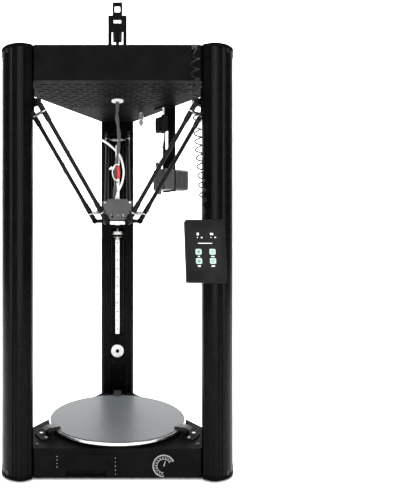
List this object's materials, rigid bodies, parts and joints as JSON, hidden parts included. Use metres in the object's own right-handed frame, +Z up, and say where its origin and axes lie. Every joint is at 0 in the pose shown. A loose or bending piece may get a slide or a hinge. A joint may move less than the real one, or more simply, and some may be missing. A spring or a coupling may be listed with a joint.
{
  "type": "delta printer",
  "caption": "Three-column delta printer with a round heated glass bed, parallel rods, a remote filament drive, a storage drawer and a magnet-held touch screen.",
  "frame": {"origin": "centre of the footprint's bounding box, on the floor under the rubber feet", "axes": "+Z up along the columns, -Y out of the screen and drawer side, +X to the user's right"},
  "size_m": [0.407, 0.4027, 0.871],
  "materials": {
    "powder_black": "fine textured powder coat",
    "anodised_black": "black anodised, satin",
    "moulded_black": "fine moulded grain",
    "moulded_grey": "dark grey, fine grain",
    "rubber_black": "matt",
    "rail_steel": "ground",
    "pulley_metal": "turned",
    "screw_steel": "nickel plated",
    "motor_black": "satin black with bare steel laminations",
    "bed_aluminium": "bead blasted",
    "bed_coating": "coated glass with a fine lattice",
    "hot_metal": "machined",
    "white_plastic": "glossy",
    "board_green": "solder mask",
    "psu_steel": "zinc plated",
    "brass": "machined",
    "switch_red": "glossy",
    "display_black": "glossy black glass",
    "carbon_black": "woven carbon under satin resin",
    "clip_grey": "satin",
    "ptfe": "waxy white",
    "braid": "braided sleeve",
    "cord_black": "satin"
  },
  "bodies": {
    "root": {"base_tray": "powder_black", "base_cover": "powder_black", "top_tray": "powder_black", "top_lid": "powder_black", "spool_bracket": "powder_black", "spool_arm": "powder_black", "extruder_bracket": "powder_black", "idler_brackets": "powder_black", "clip_bases": "powder_black", "column_left": "anodised_black", "column_right": "anodised_black", "column_rear": "anodised_black", "column_caps": "moulded_black", "bed_skirt": "moulded_black", "screen_mount": "moulded_black", "power_inlet": "moulded_black", "extruder_body": "moulded_grey", "filament_sensor": "moulded_grey", "feet": "rubber_black", "belts": "rubber_black", "linear_rails": "rail_steel", "panel_screws": "screw_steel", "tower_motors": "motor_black", "extruder_motor": "motor_black", "bed_heater": "bed_aluminium", "bed_glass": "bed_coating", "top_fittings": "white_plastic", "mainboard": "board_green", "power_supply": "psu_steel", "bowden_tube": "ptfe", "effector_loom": "braid", "screen_coil": "cord_black", "screen_cord_tails": "cord_black"},
    "effector": {"effector_plate": "powder_black", "hotend": "hot_metal", "hotend_shroud": "moulded_grey", "part_blower": "moulded_black"},
    "drawer": {"drawer": "powder_black"},
    "screen": {"screen_housing": "moulded_grey", "screen_glass": "display_black"},
    "hotend_fan": {"hotend_fan_rotor": "moulded_black"},
    "blower_wheel": {"blower_wheel": "moulded_black"},
    "extruder_gear": {"extruder_gear": "brass"},
    "extruder_lever": {"extruder_lever": "moulded_grey"},
    "power_switch": {"power_switch": "switch_red"},
    "carriage_left": {"carriage_left": "anodised_black", "arms_left": "carbon_black"},
    "drive_pulley_left": {"drive_pulley_left": "pulley_metal"},
    "idler_pulley_left": {"idler_pulley_left": "pulley_metal"},
    "clip_latch_left": {"clip_latch_left": "clip_grey"},
    "carriage_right": {"carriage_right": "anodised_black", "arms_right": "carbon_black"},
    "drive_pulley_right": {"drive_pulley_right": "pulley_metal"},
    "idler_pulley_right": {"idler_pulley_right": "pulley_metal"},
    "clip_latch_right": {"clip_latch_right": "clip_grey"},
    "carriage_rear": {"carriage_rear": "anodised_black", "arms_rear": "carbon_black"},
    "drive_pulley_rear": {"drive_pulley_rear": "pulley_metal"},
    "idler_pulley_rear": {"idler_pulley_rear": "pulley_metal"},
    "clip_latch_rear": {"clip_latch_rear": "clip_grey"}
  },
  "joints": [
    {"name": "z_travel", "type": "slide", "parent": "root", "child": "effector", "axis": [0, 0, 1], "range_m": [-0.338, 0.005], "deforming": ["bowden_tube", "effector_loom"]},
    {"name": "carriage_left_slide", "type": "slide", "parent": "root", "child": "carriage_left", "axis": [0, 0, 1], "range_m": [-0.338, 0.005]},
    {"name": "carriage_right_slide", "type": "slide", "parent": "root", "child": "carriage_right", "axis": [0, 0, 1], "range_m": [-0.338, 0.005]},
    {"name": "carriage_rear_slide", "type": "slide", "parent": "root", "child": "carriage_rear", "axis": [0, 0, 1], "range_m": [-0.338, 0.005]},
    {"name": "drive_left_spin", "type": "hinge", "parent": "root", "child": "drive_pulley_left", "pos_m": [-0.16454, -0.12199, 0.71], "axis": [-0.866, -0.5, 0], "range_deg": [-24, 1524]},
    {"name": "drive_right_spin", "type": "hinge", "parent": "root", "child": "drive_pulley_right", "pos_m": [0.16454, -0.12199, 0.71], "axis": [0.866, -0.5, 0], "range_deg": [-24, 1524]},
    {"name": "drive_rear_spin", "type": "hinge", "parent": "root", "child": "drive_pulley_rear", "pos_m": [0, 0.16301, 0.71], "axis": [0, 1, 0], "range_deg": [-24, 1524]},
    {"name": "idler_left_spin", "type": "hinge", "parent": "root", "child": "idler_pulley_left", "pos_m": [-0.16454, -0.12199, 0.151], "axis": [-0.866, -0.5, 0], "range_deg": [-24, 1524]},
    {"name": "idler_right_spin", "type": "hinge", "parent": "root", "child": "idler_pulley_right", "pos_m": [0.16454, -0.12199, 0.151], "axis": [0.866, -0.5, 0], "range_deg": [-24, 1524]},
    {"name": "idler_rear_spin", "type": "hinge", "parent": "root", "child": "idler_pulley_rear", "pos_m": [0, 0.16301, 0.151], "axis": [0, 1, 0], "range_deg": [-24, 1524]},
    {"name": "drawer_slide", "type": "slide", "parent": "root", "child": "drawer", "axis": [0, -1, 0], "range_m": [0, 0.07]},
    {"name": "clip_left_turn", "type": "hinge", "parent": "root", "child": "clip_latch_left", "pos_m": [-0.12211, -0.09749, 0.062], "axis": [0.5, -0.866, 0], "range_deg": [0, 48]},
    {"name": "clip_right_turn", "type": "hinge", "parent": "root", "child": "clip_latch_right", "pos_m": [0.12211, -0.09749, 0.062], "axis": [0.5, 0.866, 0], "range_deg": [0, 48]},
    {"name": "clip_rear_turn", "type": "hinge", "parent": "root", "child": "clip_latch_rear", "pos_m": [0, 0.11401, 0.062], "axis": [-1, 0, 0], "range_deg": [0, 48]},
    {"name": "screen_lift_off", "type": "slide", "parent": "root", "child": "screen", "axis": [0, -0.9659, 0.2588], "range_m": [0, 0.025], "deforming": ["screen_cord_tails"]},
    {"name": "hotend_fan_spin", "type": "hinge", "parent": "effector", "child": "hotend_fan", "pos_m": [0, -0.05899, 0.469], "axis": [0, 1, 0], "continuous": true},
    {"name": "blower_spin", "type": "hinge", "parent": "effector", "child": "blower_wheel", "pos_m": [0, 0.00401, 0.42], "axis": [0, 0, 1], "continuous": true},
    {"name": "extruder_gear_spin", "type": "hinge", "parent": "root", "child": "extruder_gear", "pos_m": [0.09007, 0.02501, 0.531], "axis": [0.866, 0.5, 0], "continuous": true},
    {"name": "extruder_lever_press", "type": "hinge", "parent": "root", "child": "extruder_lever", "pos_m": [0.0874, 0.03963, 0.5165], "axis": [-0.866, -0.5, 0], "range_deg": [0, 8], "stiffness_Nm_per_rad": 1.5, "springref_deg": -8.59},
    {"name": "power_rocker", "type": "hinge", "parent": "root", "child": "power_switch", "pos_m": [0.11797, 0.01167, 0.0295], "axis": [0.5, -0.866, 0], "range_deg": [0, 14]}
  ],
  "couplings": [
    {"joint": "carriage_left_slide", "follows": "z_travel", "ratio": 1},
    {"joint": "carriage_right_slide", "follows": "z_travel", "ratio": 1},
    {"joint": "carriage_rear_slide", "follows": "z_travel", "ratio": 1},
    {"joint": "drive_left_spin", "follows": "z_travel", "rad_per_m": -78.555},
    {"joint": "drive_right_spin", "follows": "z_travel", "rad_per_m": -78.555},
    {"joint": "drive_rear_spin", "follows": "z_travel", "rad_per_m": -78.555},
    {"joint": "idler_left_spin", "follows": "z_travel", "rad_per_m": -78.555},
    {"joint": "idler_right_spin", "follows": "z_travel", "rad_per_m": -78.555},
    {"joint": "idler_rear_spin", "follows": "z_travel", "rad_per_m": -78.555}
  ]
}
